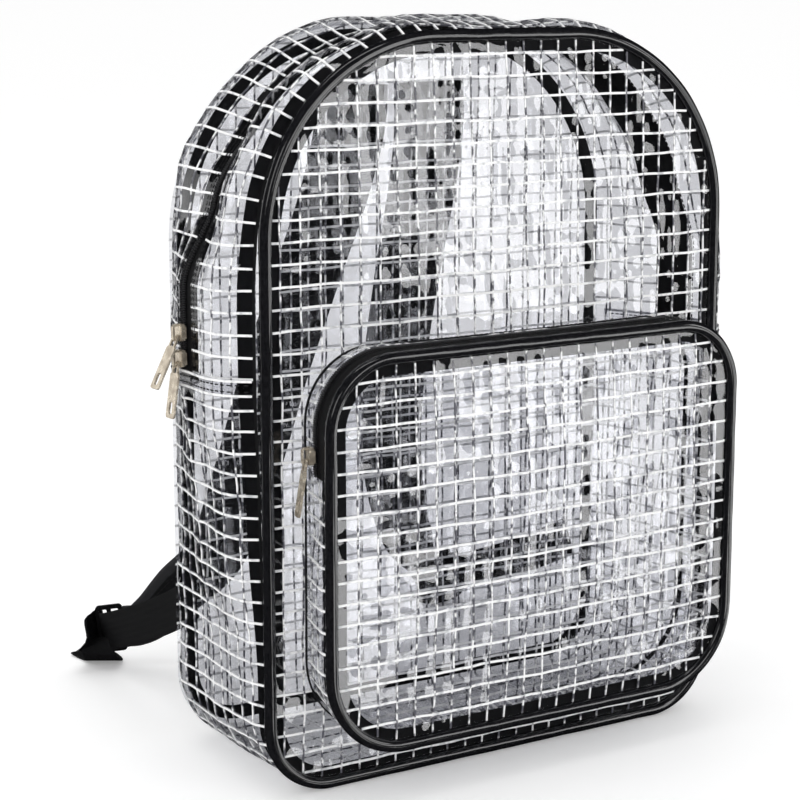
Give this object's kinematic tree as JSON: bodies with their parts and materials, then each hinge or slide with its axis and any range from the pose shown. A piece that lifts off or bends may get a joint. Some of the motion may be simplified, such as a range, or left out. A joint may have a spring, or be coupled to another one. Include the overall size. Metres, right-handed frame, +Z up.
{
  "type": "clear backpack",
  "caption": "Clear netted-film backpack standing upright, with black piping, an arched main zip, a zipped front pocket and padded shoulder straps.",
  "frame": {"origin": "middle of the bag's flat bottom", "axes": "+Z up, the front with its pocket faces -Y, the shoulder straps are on the +Y side, +X is to the right when the bag is seen from behind"},
  "size_m": [0.3686, 0.3451, 0.4271],
  "materials": {
    "clear_film": "glossy clear film with white net inside",
    "black_piping": "glossy",
    "black_tape": "woven, matte",
    "black_coil": "satin",
    "black_fabric": "woven, matte",
    "black_plastic": "satin",
    "pale_gold": "polished pale gold plate"
  },
  "bodies": {
    "bag": {"front_panel": "clear_film", "back_panel": "clear_film", "front_piping": "black_piping", "back_binding": "black_tape", "lower_gusset": "clear_film", "upper_gusset_front": "clear_film", "upper_gusset_back": "clear_film", "side_seam_right": "clear_film", "side_seam_left": "clear_film", "main_zip_tape": "black_tape", "main_zip_coil": "black_coil", "pocket_panel": "clear_film", "pocket_piping": "black_piping", "pocket_gusset_lower": "clear_film", "pocket_gusset_upper": "clear_film", "pocket_zip_tape": "black_tape", "pocket_zip_coil": "black_coil", "main_slider_upper": "pale_gold", "main_slider_lower": "pale_gold", "pocket_slider": "pale_gold", "left_shoulder_strap": "black_fabric", "left_adjuster": "black_plastic", "left_webbing": "black_fabric", "right_shoulder_strap": "black_fabric", "right_adjuster": "black_plastic", "right_webbing": "black_fabric"},
    "upper_pull": {"main_pull_upper": "pale_gold"},
    "lower_pull": {"main_pull_lower": "pale_gold"},
    "small_pull": {"pocket_pull": "pale_gold"}
  },
  "joints": [
    {"name": "upper_pull_hinge", "type": "hinge", "parent": "bag", "child": "upper_pull", "pos_m": [-0.17785, -0.00055, 0.25595], "axis": [-0.1167, 0.9932, 0], "range_deg": [-3, 115]},
    {"name": "lower_pull_hinge", "type": "hinge", "parent": "bag", "child": "lower_pull", "pos_m": [-0.17785, -0.00055, 0.24143], "axis": [-0.1167, 0.9932, 0], "range_deg": [-12, 27]},
    {"name": "pocket_pull_hinge", "type": "hinge", "parent": "bag", "child": "small_pull", "pos_m": [-0.14155, -0.08062, 0.19765], "axis": [0.2321, 0.9727, 0], "range_deg": [-15, 130]}
  ]
}
